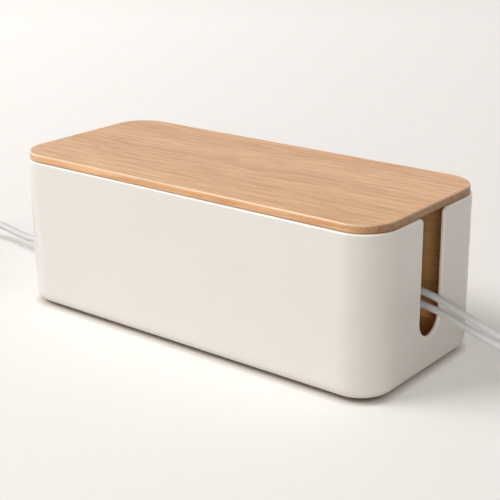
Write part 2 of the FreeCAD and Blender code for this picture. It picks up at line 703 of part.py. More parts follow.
def make_switch():
    """The rocker switch: a housing snapped into the cover and a rocker on a cross pin."""
    x = size("switch_x")
    pivot_z = strip_top - 3
    length, width = size("can_length"), size("can_width")
    rim = block("switch_rim_block", x, 0, strip_top, size("bezel_length"), size("bezel_width"),
                size("bezel_height"))
    rim = rounded("switch_rim", rim, 2, lambda e: e.BoundBox.ZLength > 1)
    can = block("switch_can", x, 0, seam, length, width, strip_top - seam)
    inside = block("switch_inside", x, 0, seam + 1.5, length - 2, width - 1.6, 30)
    pin_hole = cylinder("switch_pin_hole", x, -10, pivot_z, 1.25, 20, along_y)
    blank = fuse("switch_housing_blank", rim, can)
    finish(cut("switch_housing", blank, inside, pin_hole), "switch_housing")

    rocker = body("switch_rocker_body")
    outline = sketch(rocker, "rocker_outline", "XZ_Plane")
    draw_polygon(outline, [(-8, -5), (8, -5), (9.6, 1), (9.2, 5.6), (5, 4.1), (0, 3.4), (-5, 4.1),
                           (-9.2, 5.6), (-9.6, 1)])
    key = rocker.newObject("PartDesign::Pad", "rocker_key")
    key.Profile = outline
    key.SideType = "Symmetric"
    bind(key, Length=size("rocker_width") - 0.8)
    pin = sketch(rocker, "rocker_pin_outline", "XZ_Plane")
    draw_circle(pin, 0, 0, 1.2)
    shaft = rocker.newObject("PartDesign::Pad", "rocker_pin")
    shaft.Profile = pin
    shaft.SideType = "Symmetric"
    bind(shaft, Length=size("rocker_width") + 1.2)
    place(rocker, x, 0, pivot_z, Rotation(Vector(0, 1, 0), driving["rocker_tilt"]))
    finish(rocker, "switch_rocker")

    tabs = [block(f"switch_tab_{n}", x + shift, 0, seam - 7, 0.8, 4, 7)
            for n, shift in enumerate((-6, 6))]
    group = doc.addObject("Part::Compound", "switch_terminals")
    group.Links = tabs
    finish(group, "switch_terminals")


def make_gland():
    """The moulded strain relief that holds the mains lead in the strip's end wall."""
    start, z = -size("strip_left"), size("gland_z")
    wall, length = size("strip_wall"), size("gland_length")
    inner = cylinder("gland_inner_flange", start + wall, 0, z, 6.5, 1.8, along_x)
    neck = cylinder("gland_neck_ring", start, 0, z, size("gland_neck"), wall, along_x)
    outer = cylinder("gland_outer_flange", start - 2, 0, z, 6.8, 2, along_x)
    tail = cone("gland_tail", start - 2 - length, 0, z, 4, 5.4, length, along_x)
    finish(fuse("mains_gland", inner, neck, outer, tail), "mains_gland")


def make_strip_plugs():
    """The two device plugs that stand in the strip: a nose in the well, a head above it and two pins."""
    names = {"plug_left": socket_places[0], "plug_right": socket_places[2]}
    for label, x in names.items():
        nose_low, head_low = well_floor + 0.05, size("plug_head_base")
        plug, _ = rounded_block(label + "_body", size("plug_nose_thickness"), size("plug_nose_width"), 6,
                                nose_low, head_low - nose_low + 1)
        head = sketch(plug, label + "_head_outline", "XY_Plane", head_low)
        draw_rounded_rectangle(head, size("plug_head_thickness"), size("plug_head_width"), 8)
        head = pad(plug, label + "_head", head, size("plug_head_top") - head_low)
        top = size("plug_head_top").number
        fillet(plug, label + "_crown", head, 3, lambda e, top=top: flat_at(e, "Z", top))
        place(plug, x)
        start = x + size("plug_head_thickness") / 2
        relief = cone(label + "_relief", start - 1, 0, size("plug_exit_z"), 4.4,
                      size("lead_diameter") / 2 + 0.5, size("relief_length") + 1, along_x)
        finish(fuse(label, plug, relief), label)
        pins = [cylinder(f"{label}_pin_{n}", x, half_pins * side, nose_low - size("pin_length"),
                         size("pin_radius"), size("pin_length")) for n, side in enumerate((-1, 1))]
        group = doc.addObject("Part::Compound", label + "_pins")
        group.Links = pins
        finish(group, label + "_pins")


# Cords. A route is a list of points chosen by hand; the tube is straight runs joined by tangent arcs.
def arc_between(start, corner, end):
    """The round arc that leaves start towards corner and reaches end from it."""
    weight = math.sin((start - corner).getAngle(end - corner) / 2)
    middle = (start + corner * (2 * weight) + end) / (2 + 2 * weight)
    return Part.Arc(start, middle, end).toShape()


def route_wire(label, points):
    """Straight runs with the largest arc that each corner's two runs allow."""
    points = [Vector(*point) for point in points]
    edges, radii, here = [], [], points[0]
    for n in range(1, len(points) - 1):
        back, ahead = points[n - 1] - points[n], points[n + 1] - points[n]
        trim = 0.45 * min(back.Length, ahead.Length)
        half_turn = (math.pi - back.getAngle(ahead)) / 2
        radii.append(trim / math.tan(half_turn))
        start = points[n] + back * (trim / back.Length)
        end = points[n] + ahead * (trim / ahead.Length)
        edges.append(Part.LineSegment(here, start).toShape())
        edges.append(arc_between(start, points[n], end))
        here = end
    edges.append(Part.LineSegment(here, points[-1]).toShape())
    print(label, "radii", [round(radius) for radius in radii], "least", round(min(radii), 1))
    return Part.Wire(edges)


def sweep(label, wire, diameter):
    """A round tube along a wire, as a sub-part of its own."""
    start = wire.Edges[0]
    point, direction = start.valueAt(start.FirstParameter), start.tangentAt(start.FirstParameter)
    section = Part.Wire([Part.Circle(point, direction, diameter / 2).toShape()])
    shape = wire.makePipeShell([section], True, False)
    expected = math.pi * diameter ** 2 / 4 * wire.Length
    assert abs(shape.Volume / expected - 1) < 0.01, label + " has the wrong volume"
    print(label, "length", round(wire.Length, 1), "volume over section times length",
          round(shape.Volume / expected, 4))
    item = doc.addObject("Part::Feature", label + "_tube")
    item.Shape = shape
    item.Placement = Placement()
    return finish(item, label)


def bend_pair(start, start_way, end, end_way):
    """Two arcs that leave start along one way, meet tangent and reach end along the other."""
    chord, both = end - start, start_way + end_way
    spread = 2 * (1 - start_way.dot(end_way))
    along = chord.dot(both)
    if spread < 1e-9:
        reach = chord.Length ** 2 / (4 * chord.dot(end_way))
    else:
        reach = (-along + math.sqrt(along ** 2 + spread * chord.Length ** 2)) / spread
    first, second = start + start_way * reach, end - end_way * reach
    joint = (first + second) / 2
    return [arc_between(start, first, joint), arc_between(joint, second, end)]


def coil_wire(label, coil, diameter):
    """A two-layer coil: it winds in on the floor, climbs in half a turn and winds out again on top."""
    centre = Vector(*coil["centre"])
    inward = (coil["turns"] - 0.5) / 2
    inner = coil["outer_radius"] - coil["pitch"] * inward
    sense = coil["sense"]

    def spot(turn):
        angle = math.radians(coil["start_degrees"]) + sense * 2 * math.pi * turn
        climb = min(max((turn - inward) / 0.5, 0), 1)
        radius = inner + coil["pitch"] * max(inward - turn, turn - inward - 0.5, 0)
        radius -= 0.2 * coil["pitch"] * math.sin(math.pi * climb) ** 2
        rise = coil["layer"] * climb ** 2 * (3 - 2 * climb)
        return centre + Vector(radius * math.cos(angle), radius * math.sin(angle), rise)

    def way(turn):
        if turn in (0, coil["turns"]):
            angle = math.radians(coil["start_degrees"]) + sense * 2 * math.pi * turn
            return Vector(-sense * math.sin(angle), sense * math.cos(angle), 0)
        step = 1e-4
        return (spot(turn + step) - spot(turn - step)).normalize()

    steps = math.ceil(inward * 4)
    turns = [inward * n / steps for n in range(steps + 1)]
    turns += [inward + 0.25]
    turns += [inward + 0.5 + inward * n / steps for n in range(steps)] + [coil["turns"]]
    first, last = spot(0), spot(coil["turns"])
    edges = [Part.LineSegment(first - way(0) * diameter, first).toShape()]
    for start, end in zip(turns[:-1], turns[1:]):
        edges += bend_pair(spot(start), way(start), spot(end), way(end))
    edges.append(Part.LineSegment(last, last + way(coil["turns"]) * diameter).toShape())
    wire = Part.Wire(edges)
    print(label, "inner radius", round(inner, 1), "starts", edges[0].Vertexes[0].Point,
          "ends", edges[-1].Vertexes[-1].Point)
    print(label, "least gap to itself", round(gap_to_itself(wire, diameter), 2))
    return wire


def gap_to_itself(wire, diameter):
    """The least clear distance between stretches of one tube that are not next to each other."""
    points = wire.discretize(Distance=2)
    apart = int(2.5 * diameter / 2) + 1
    least = min((a - b).Length for n, a in enumerate(points) for b in points[n + apart:])
    return least - diameter


lead_coil = {"pitch": 5.7, "layer": 5.6}
cords = {
    "left_lead": {
        "diameter": "lead_diameter",
        "run": [(-45, 0, 61), (-33, 0, 61), (-17, 1.8, 64.6), (-2, 3.2, 71.8), (14, 3.6, 77.6),
                (33, 3.2, 78.8), (52, 1.4, 76.5), (72, -1.6, 72), (93, -3.2, 67.8), (114, -2.6, 64.6),
                (134, -0.8, 62.6), (152, 0.2, 61.2), (168, 0.1, 58.8), (185, -0.4, 53.6),
                (202, -0.4, 47.5), (219, 0.2, 41.6), (236, 1.6, 34.6), (251, 3.4, 24.8),
                (265, 5.2, 13.2), (277, 6.3, 5.6), (285, 6.5, 3.5), (293, 6.5, 3.5)],
        "coil": {"centre": (298, 43, 3.5), "start_degrees": -90, "sense": 1, "turns": 6.5,
                 "outer_radius": 36.5, **lead_coil},
        "tail": [(293, 79.5, 9.1), (286, 79.5, 9.1), (273, 80.2, 4.5), (265, 80.2, 4.5)],
    },
    "right_lead": {
        "diameter": "lead_diameter",
        "run": [(51, 0, 61), (63, 0, 61), (77, -1.6, 58.2), (92, -3.4, 54.6), (108, -3.8, 52),
                (126, -2.4, 51.1), (144, -0.6, 51.6), (158, 0.1, 51.2), (172, 0.1, 48.8),
                (188, -0.4, 44.3), (204, -1, 39.7), (220, -1.6, 35.8), (236, -2.4, 30.4),
                (250, -3, 22.6), (263, -3.5, 13.4), (275, -3.8, 6.6), (284, -3.8, 3.5),
                (293, -3.8, 3.5)],
        "coil": {"centre": (298, -43, 3.5), "start_degrees": 90, "sense": -1, "turns": 6.25,
                 "outer_radius": 39.2, **lead_coil},
        "tail": [(337.2, -48, 9.1), (337.2, -55, 9.1), (336.6, -68, 4.5), (336.6, -76, 4.5)],
    },
    "mains_lead": {
        "diameter": "mains_diameter",
        "run": [(-155, 0, 40), (-171, 0, 40), (-187, 0.6, 34), (-201, 1.6, 25.6), (-215, 2.6, 19.4),
                (-230, 3.7, 16.2), (-246, 5.4, 15.4), (-262, 7.8, 15.8), (-277, 10.4, 16.4),
                (-291, 12.8, 16.6), (-305, 14.8, 13.4), (-318, 16.2, 7.4), (-329, 16.9, 4.25),
                (-337.5, 16.9, 4.25)],
        "coil": {"centre": (-344, -30.3, 4.25), "start_degrees": 90, "sense": 1, "turns": 5.5,
                 "outer_radius": 47.2, "pitch": 7.3, "layer": 7.2},
        "tail": [(-337.5, -77.5, 11.45), (-330.5, -77.5, 11.45), (-321.5, -75, 10), (-314, -75, 10)],
    },
}


def make_cords():
    """Each cord's run out of the box, its put-away coil and the tail that leads to its far end."""
    for label, cord in cords.items():
        diameter = size(cord["diameter"]).number
        run = route_wire(label + "_run", cord["run"])
        sweep(label + "_run", run, diameter)
        coil = coil_wire(label + "_coil", cord["coil"], diameter)
        sweep(label + "_coil", coil, diameter)
        tail = route_wire(label + "_tail", cord["tail"])
        sweep(label + "_tail", tail, diameter)
        print(label, "whole length", round(run.Length + coil.Length + tail.Length))


def make_ties():
    """A strap round each coil, which holds its turns together."""
    for name, degrees in (("left_lead", 200), ("right_lead", 160), ("mains_lead", 200)):
        label, cord = name + "_tie", cords[name]
        coil, diameter = cord["coil"], size(cord["diameter"]).number
        strap, width = 0.8, 10
        inner = coil["outer_radius"] - coil["pitch"] * (coil["turns"] - 0.5) / 2
        low = coil["centre"][2] - diameter / 2 - 0.1
        high = low + diameter + coil["layer"] + 0.3
        near = inner - diameter / 2 - 1
        far = coil["outer_radius"] + diameter / 2 + 0.2
        middle, span = (near + far) / 2, far - near
        outer = block(label + "_block", middle, 0, low - strap, span + 2 * strap, width,
                      high - low + 2 * strap)
        outer = rounded(label + "_outer", outer, 2, lambda e: e.BoundBox.YLength > 1)
        bore = block(label + "_hollow", middle, 0, low, span, width + 2, high - low)
        bore = rounded(label + "_bore", bore, 1.4, lambda e: e.BoundBox.YLength > 1)
        tie = cut(label, outer, bore)
        x, y = coil["centre"][:2]
        place(tie, x, y, 0, Rotation(Vector(0, 0, 1), degrees))
        finish(tie, label)


def make_far_ends():
    """The small two-hole connectors of the device leads and the round plug of the mains lead."""
    relief, length, lobe = size("connector_relief"), size("connector_length"), size("lobe_radius")
    for name, degrees in (("left_lead", 180), ("right_lead", -90)):
        label = name + "_connector"
        neck = cone(label + "_relief", 0, 0, 0, size("lead_diameter") / 2 + 0.5, 4, relief, along_x)
        lobes = [cylinder(f"{label}_lobe_{n}", relief - 0.5, side * 3.6, 0, lobe, length, along_x)
                 for n, side in enumerate((-1, 1))]
        bridge = block(label + "_bridge", relief - 0.5 + length / 2, 0, -3.6, length, 7.2, 7.2)
        holes = [cylinder(f"{label}_hole_{n}", relief + 7, side * 4, 0, 1.5, 20, along_x)
                 for n, side in enumerate((-1, 1))]
        connector = cut(label, fuse(label + "_blank", neck, bridge, *lobes), *holes)
        place(connector, *cords[name]["tail"][-1], Rotation(Vector(0, 0, 1), degrees))
        finish(connector, label)

    radius, height = size("mains_plug_radius"), size("mains_plug_height")
    relief = size("mains_plug_relief")
    start = cords["mains_lead"]["tail"][-1]
    middle = start[0] + relief + radius - 1
    disc = cylinder("mains_plug_disc", middle, start[1], 0, radius, height)
    disc = rounded("mains_plug_round", disc, 2.5, lambda e: e.Curve.TypeId == "Part::GeomCircle")
    neck = cone("mains_plug_relief", *start, size("mains_diameter") / 2 + 0.7, 6, relief, along_x)
    grooves = [block(f"mains_plug_groove_{n}", middle, start[1] + (radius - 0.5) * side, height - 9,
                     6, 3, 12) for n, side in enumerate((-1, 1))]
    finish(cut("mains_plug", fuse("mains_plug_blank", disc, neck), *grooves), "mains_plug")
    pins = [cylinder(f"mains_plug_pin_{n}", middle + half_pins * side, start[1], height,
                     size("mains_pin_radius"), size("pin_length")) for n, side in enumerate((-1, 1))]
    group = doc.addObject("Part::Compound", "mains_plug_pins")
    group.Links = pins
    finish(group, "mains_plug_pins")


def make_inner_wires():
    """The mains lead's three cores inside the strip and the wire from the switch to the live bar."""
    diameter = size("wire_diameter").number
    wires = {
        "live_wire": [(-126, 2.5, 40), (-123.5, 2.5, 40), (-119.5, 1.4, 37.4), (-116.5, 0.6, 36.6),
                      (-114.5, 0.6, 36.6)],
        "switched_wire": [(-101.5, 0, 36), (-98.5, 0, 36), (-94.6, 3.4, 33), (-92.8, 7.4, 27.4),
                          (-90.6, 9.5, 21.8), (-86, 9.5, 17.5), (-81, 9.5, 17.5)],
        "neutral_wire": [(-126, -2.5, 40), (-122.5, -2.5, 40), (-116.5, -5.4, 36), (-110.5, -8.6, 29),
                         (-105, -9.5, 21.6), (-99, -9.5, 17.5), (-93, -9.5, 17.5)],
        "earth_wire": [(-126, 0, 37.4), (-122.6, 0, 37.4), (-118.6, -0.5, 32.4), (-113.4, -0.5, 24.6),
                       (-107, 0, 18.6), (-100, 0, 17.5), (-94, 0, 17.5)],
    }
    for label, points in wires.items():
        sweep(label, route_wire(label, points), diameter)


def write_parts():
    """Write each finished sub-part to a file of its own."""
    os.makedirs("parts", exist_ok=True)
    for label, item in finished.items():
        item.Shape.exportStep(f"parts/{label}.step")
    print(len(finished), "sub-parts written")


make_box_shell()
make_floor_board()
make_lining()
make_feet()
make_lid()
make_strip_base()
make_strip_cover()
make_case_screws()
make_contacts()
make_shutters()
make_switch()
make_gland()
make_strip_plugs()
make_inner_wires()
make_cords()
make_ties()
make_far_ends()
report_failures()
write_parts()
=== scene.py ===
import math

import bpy
from mathutils import Matrix, Vector


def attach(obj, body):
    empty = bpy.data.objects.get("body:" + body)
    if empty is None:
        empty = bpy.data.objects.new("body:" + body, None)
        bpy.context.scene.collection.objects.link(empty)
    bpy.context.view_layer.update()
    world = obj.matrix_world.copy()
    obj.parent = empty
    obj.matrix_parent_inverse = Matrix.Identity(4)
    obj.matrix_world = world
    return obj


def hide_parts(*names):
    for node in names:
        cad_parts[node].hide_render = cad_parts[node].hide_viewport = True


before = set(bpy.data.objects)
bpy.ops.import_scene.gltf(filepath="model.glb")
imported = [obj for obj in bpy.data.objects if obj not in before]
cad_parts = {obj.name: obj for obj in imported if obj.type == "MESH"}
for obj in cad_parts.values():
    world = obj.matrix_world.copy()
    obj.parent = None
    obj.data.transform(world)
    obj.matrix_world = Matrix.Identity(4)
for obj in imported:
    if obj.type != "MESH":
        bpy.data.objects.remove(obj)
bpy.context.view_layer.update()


# Camera. The photograph looks down on the box from its front right corner through a longish lens.
# The view was fitted to the box's corners, its rim and the slot in its end.
view_azimuth, view_elevation, view_roll = math.radians(38.42), math.radians(19.31), math.radians(-0.5)
view_distance, view_target = 0.8905, Vector((0.01036, 0.0002, 0.05862))
lens_in_pixels, picture_width = 1195.2, 500
camera_data = bpy.data.cameras.new("photo_camera")
camera_data.sensor_width = 36
camera_data.lens = lens_in_pixels * 36 / picture_width
camera_data.clip_start, camera_data.clip_end = 0.05, 20
camera = bpy.data.objects.new("photo_camera", camera_data)
bpy.context.scene.collection.objects.link(camera)
toward_camera = Vector((math.sin(view_azimuth) * math.cos(view_elevation),
                        -math.cos(view_azimuth) * math.cos(view_elevation), math.sin(view_elevation)))
camera.rotation_mode = "QUATERNION"
camera.location = view_target + toward_camera * view_distance
level = (-toward_camera).to_track_quat("-Z", "Y")
camera.rotation_quaternion = level @ Matrix.Rotation(view_roll, 3, "Z").to_quaternion()
bpy.context.scene.camera = camera


# Cords and ties. Two 5 mm device leads leave the box at the right, and the 6.5 mm mains lead leaves it at
# the left. Each is one length of round cable with a smooth extruded jacket: a run out of the box, a coil
# put away under a grey hook-and-loop tape, and a tail to the plug or connector on its far end.
# The points of the runs and tails are in millimetres, and every other length is in metres.
lead_coil = {"pitch": 0.0057, "layer": 0.0056}
cords = {
    "left_lead": {
        "diameter": 0.005, "length": 1.5, "far_end": "connector", "start": (-0.045, 0, 0.061),
        "run": [(-45, 0, 61), (-33, 0, 61), (-17, 1.8, 64.6), (-2, 3.2, 71.8), (14, 3.6, 77.6),
                (33, 3.2, 78.8), (52, 1.4, 76.5), (72, -1.6, 72), (93, -3.2, 67.8), (114, -2.6, 64.6),
                (134, -0.8, 62.6), (152, 0.2, 61.2), (168, 0.1, 58.8), (185, -0.4, 53.6),
                (202, -0.4, 47.5), (219, 0.2, 41.6), (236, 1.6, 34.6), (251, 3.4, 24.8),
                (265, 5.2, 13.2), (277, 6.3, 5.6), (285, 6.5, 3.5), (293, 6.5, 3.5)],
        "coil": {"centre": (0.298, 0.043, 0.0035), "start_degrees": -90, "sense": 1, "turns": 6.5,
                 "outer_radius": 0.0365, **lead_coil},
        "tail": [(293, 79.5, 9.1), (286, 79.5, 9.1), (273, 80.2, 4.5), (265, 80.2, 4.5)],
        "on_cord": ["left_lead_connector"], "tie_degrees": 200,
    },
    "right_lead": {
        "diameter": 0.005, "length": 1.5, "far_end": "connector", "start": (0.051, 0, 0.061),
        "run": [(51, 0, 61), (63, 0, 61), (77, -1.6, 58.2), (92, -3.4, 54.6), (108, -3.8, 52),
                (126, -2.4, 51.1), (144, -0.6, 51.6), (158, 0.1, 51.2), (172, 0.1, 48.8),
                (188, -0.4, 44.3), (204, -1, 39.7), (220, -1.6, 35.8), (236, -2.4, 30.4),
                (250, -3, 22.6), (263, -3.5, 13.4), (275, -3.8, 6.6), (284, -3.8, 3.5),
                (293, -3.8, 3.5)],
        "coil": {"centre": (0.298, -0.043, 0.0035), "start_degrees": 90, "sense": -1, "turns": 6.25,
                 "outer_radius": 0.0392, **lead_coil},
        "tail": [(337.2, -48, 9.1), (337.2, -55, 9.1), (336.6, -68, 4.5), (336.6, -76, 4.5)],
        "on_cord": ["right_lead_connector"], "tie_degrees": 160,
    },
    "mains_lead": {
        "diameter": 0.0065, "length": 1.5, "far_end": "plug", "start": (-0.155, 0, 0.04),
        "run": [(-155, 0, 40), (-171, 0, 40), (-187, 0.6, 34), (-201, 1.6, 25.6), (-215, 2.6, 19.4),
                (-230, 3.7, 16.2), (-246, 5.4, 15.4), (-262, 7.8, 15.8), (-277, 10.4, 16.4),
                (-291, 12.8, 16.6), (-305, 14.8, 13.4), (-318, 16.2, 7.4), (-329, 16.9, 4.25),
                (-337.5, 16.9, 4.25)],
        "coil": {"centre": (-0.344, -0.0303, 0.00425), "start_degrees": 90, "sense": 1, "turns": 5.5,
                 "outer_radius": 0.0472, "pitch": 0.0073, "layer": 0.0072},
        "tail": [(-337.5, -77.5, 11.45), (-330.5, -77.5, 11.45), (-321.5, -75, 10), (-314, -75, 10)],
        "on_cord": ["mains_plug", "mains_plug_pins"], "tie_degrees": 200,
    },
}


def node(tree, kind, inputs, **settings):
    """One shader node, with a number or another node's output for each named input."""
    made = tree.nodes.new("ShaderNode" + kind)
    for setting, value in settings.items():
        setattr(made, setting, value)
    for socket, value in inputs.items():
        if isinstance(value, bpy.types.NodeSocket):
            tree.links.new(value, made.inputs[socket])
        else:
            made.inputs[socket].default_value = value
    return made


def maths(tree, operation, first, second=0, **settings):
    """One sum on numbers or other nodes' outputs."""
    return node(tree, "Math", {0: first, 1: second}, operation=operation, **settings).outputs[0]


def mixed(tree, factor, first, second, blend="MIX"):
    """Two colours laid over each other."""
    made = node(tree, "Mix", {}, data_type="RGBA", blend_type=blend)
    for socket, value in ((made.inputs[0], factor), (made.inputs[6], first), (made.inputs[7], second)):
        if isinstance(value, bpy.types.NodeSocket):
            tree.links.new(value, socket)
        else:
            socket.default_value = value
    return made.outputs[2]


def ranged(tree, value, low, high, to_low, to_high):
    """A value's range stretched onto another one."""
    return node(tree, "MapRange", {"Value": value, "From Min": low, "From Max": high,
                                   "To Min": to_low, "To Max": to_high}).outputs[0]


def place_on(tree):
    """The three coordinates of a point in the piece's own space."""
    return node(tree, "SeparateXYZ", {"Vector": node(tree, "TexCoord", {}).outputs["Object"]}).outputs


def length_of(tree, first, second):
    """The length of the slanting side over two upright ones."""
    sides = node(tree, "CombineXYZ", {0: first, 1: second}).outputs[0]
    return node(tree, "VectorMath", {0: sides}, operation="LENGTH").outputs["Value"]


def past_middle(tree, spot, half_length, half_width):
    """How far a point lies, seen from above, from the rectangle on which a piece's round corners turn."""
    past = [maths(tree, "MAXIMUM", maths(tree, "SUBTRACT", maths(tree, "ABSOLUTE", side), half))
            for side, half in ((spot[0], half_length), (spot[1], half_width))]
    return length_of(tree, *past)


def pattern_group(name, takes):
    """An empty shader group that takes the named values and gives a colour, a roughness and a height."""
    group = bpy.data.node_groups.new(name, "ShaderNodeTree")
    kinds = {"Position": "NodeSocketVector", "Colour": "NodeSocketColor", "Second Colour": "NodeSocketColor"}
    for label in takes:
        group.interface.new_socket(label, in_out="INPUT", socket_type=kinds.get(label, "NodeSocketFloat"))
    for label, kind in (("Colour", "NodeSocketColor"), ("Roughness", "NodeSocketFloat"),
                        ("Height", "NodeSocketFloat")):
        group.interface.new_socket(label, in_out="OUTPUT", socket_type=kind)
    return group, group.nodes.new("NodeGroupInput").outputs


def give(group, **results):
    """Joins the group's results to its outputs."""
    ends = group.nodes.new("NodeGroupOutput").inputs
    for label, result in results.items():
        group.links.new(result, ends[label])


def finish_of(name, group, takes, bump, turned=(0, 0, 0), moved=(0, 0, 0), **on_shader):
    """A surface finish: a shared pattern in the piece's own space, and the shader's own fixed values."""
    material = bpy.data.materials.new(name)
    material.use_nodes = True
    tree = material.node_tree
    shader = tree.nodes["Principled BSDF"]
    for socket, value in on_shader.items():
        shader.inputs[socket.replace("_", " ")].default_value = value
    place = node(tree, "Mapping", {"Vector": node(tree, "TexCoord", {}).outputs["Object"],
                                   "Rotation": turned, "Location": moved}).outputs[0]
    pattern = node(tree, "Group", {}, node_tree=group)
    tree.links.new(place, pattern.inputs["Position"])
    for label, value in takes.items():
        pattern.inputs[label].default_value = value
    tree.links.new(pattern.outputs["Colour"], shader.inputs["Base Color"])
    tree.links.new(pattern.outputs["Roughness"], shader.inputs["Roughness"])
    relief = node(tree, "Bump", {"Height": pattern.outputs["Height"], "Distance": bump, "Strength": 1})
    tree.links.new(relief.outputs[0], shader.inputs["Normal"])
    return material


# Moulded and extruded plastics share one skin: a fine sparked grain left by the tool, a slight unevenness
# of the colour, and faint rubbed patches that are a little glossier.
moulded_skin, given = pattern_group("moulded_skin", ["Position", "Colour", "Unevenness", "Roughness", "Grain"])
spark = node(moulded_skin, "TexNoise", {"Vector": given["Position"], "Scale": given["Grain"], "Detail": 2})
cloud = node(moulded_skin, "TexNoise", {"Vector": given["Position"], "Scale": 22, "Detail": 4})
rubbed = node(moulded_skin, "TexNoise", {"Vector": given["Position"], "Scale": 55, "Detail": 6,
                                         "Roughness": 0.7})
shade = node(moulded_skin, "Math", {0: ranged(moulded_skin, cloud.outputs[0], 0.3, 0.7, -1, 0),
                                    1: given["Unevenness"], 2: 1}, operation="MULTIPLY_ADD")
tone = node(moulded_skin, "CombineColor", {0: shade.outputs[0], 1: shade.outputs[0], 2: shade.outputs[0]})
wear = ranged(moulded_skin, rubbed.outputs[0], 0.35, 0.75, 0.06, -0.08)
give(moulded_skin, Colour=mixed(moulded_skin, 1, given["Colour"], tone.outputs[0], "MULTIPLY"),
     Roughness=maths(moulded_skin, "ADD", given["Roughness"], wear),
     Height=spark.outputs[0])


def coil_points(coil, per_turn=16):
    """The turns of a two-layer coil: in on the floor, up a layer in half a turn, and out again on top."""
    inward = (coil["turns"] - 0.5) / 2
    inner = coil["outer_radius"] - coil["pitch"] * inward
    count = math.ceil(coil["turns"] * per_turn)
    points = []
    for n in range(count + 1):
        turn = coil["turns"] * n / count
        angle = math.radians(coil["start_degrees"]) + coil["sense"] * 2 * math.pi * turn
        climb = min(max((turn - inward) / 0.5, 0), 1)
        radius = inner + coil["pitch"] * max(inward - turn, turn - inward - 0.5, 0)
        radius -= 0.2 * coil["pitch"] * math.sin(math.pi * climb) ** 2
        rise = coil["layer"] * climb ** 2 * (3 - 2 * climb)
        side = Vector((radius * math.cos(angle), radius * math.sin(angle), rise))
        points.append(Vector(coil["centre"]) + side)
    return points


def tape_line(near, far, low, high):
    """The line that the tape follows in the coil's section: once round the turns, then over its own start."""
    corner, lap = 0.002, 0.0009
    line = [Vector((near + (far - near) * 0.35, 0, high))]
    for x, z, start in ((near + corner, high - corner, 90), (near + corner, low + corner, 180),
                        (far - corner, low + corner, 270), (far - corner, high - corner + lap, 0)):
        for step in range(7):
            angle = math.radians(start + 15 * step)
            line.append(Vector((x + corner * math.cos(angle), 0, z + corner * math.sin(angle))))
    for share, lift in ((0.75, 0), (0.5, 0), (0.3, 0.00005), (0.2, 0.0003), (0.14, 0.0007)):
        line.append(Vector((near + (far - near) * share, 0, high + lap + lift)))
    return line


def make_tie(name, coil, diameter, degrees):
    """A 10 mm tape drawn round the turns: one strip extruded along its line and given its thickness."""
    width, thick = 0.010, 0.0008
    inner = coil["outer_radius"] - coil["pitch"] * (coil["turns"] - 0.5) / 2
    low = coil["centre"][2] - diameter / 2 - 0.0001
    line = tape_line(inner - diameter / 2 - 0.001 - thick / 2, coil["outer_radius"] + diameter / 2 + 0.0002
                     + thick / 2, low - thick / 2, low + diameter + coil["layer"] + 0.0003 + thick / 2)
    bpy.ops.object.select_all(action="DESELECT")
    bpy.ops.mesh.primitive_plane_add(size=width)
    tape = bpy.context.object
    tape.name = name
    for corner in tape.data.vertices:
        end = line[0] if corner.co.x < 0 else line[1]
        corner.select = corner.co.x > 0
        corner.co = (end.x, corner.co.y, end.z)
    for edge in tape.data.edges:
        edge.select = all(tape.data.vertices[n].select for n in edge.vertices)
    tape.data.polygons[0].select = False
    bpy.ops.object.mode_set(mode="EDIT")
    for here, there in zip(line[1:], line[2:]):
        bpy.ops.mesh.extrude_region_move(TRANSFORM_OT_translate={"value": there - here})
    bpy.ops.mesh.select_all(action="SELECT")
    bpy.ops.mesh.normals_make_consistent()
    bpy.ops.object.mode_set(mode="OBJECT")
    tape.rotation_euler = (0, 0, math.radians(degrees))
    tape.location = (*coil["centre"][:2], 0)
    bpy.ops.object.transform_apply()
    for kind, values in (("SOLIDIFY", {"thickness": thick, "offset": 0}),
                         ("BEVEL", {"width": 0.00015, "segments": 2})):
        step = tape.modifiers.new(kind.title(), kind)
        for label, value in values.items():
            setattr(step, label, value)
        bpy.ops.object.modifier_apply(modifier=step.name)
    bpy.ops.object.shade_smooth_by_angle(angle=math.radians(35))
    return tape


# The tape is knitted: a fuzzy nap of fine loops, a little uneven in colour.
napped_tape, given = pattern_group("napped_tape", ["Position", "Colour", "Roughness"])
loops = node(napped_tape, "TexVoronoi", {"Vector": given["Position"], "Scale": 2100})
tufts = node(napped_tape, "TexNoise", {"Vector": given["Position"], "Scale": 420, "Detail": 4})
nap = maths(napped_tape, "ADD", ranged(napped_tape, loops.outputs["Distance"], 0, 0.7, 0.6, 0),
            ranged(napped_tape, tufts.outputs[0], 0.3, 0.7, 0, 0.4))
give(napped_tape, Colour=mixed(napped_tape, nap, (0.12, 0.12, 0.125, 1), given["Colour"]),
     Roughness=given["Roughness"], Height=nap)
tie_fabric = finish_of("tie_fabric", napped_tape, {"Colour": (0.46, 0.46, 0.47, 1), "Roughness": 0.92}, 0.00025)
jacket = finish_of("cord_jacket", moulded_skin, {"Colour": (0.72, 0.735, 0.755, 1), "Unevenness": 0.05,
                                                 "Roughness": 0.34, "Grain": 1500}, 0.000004)
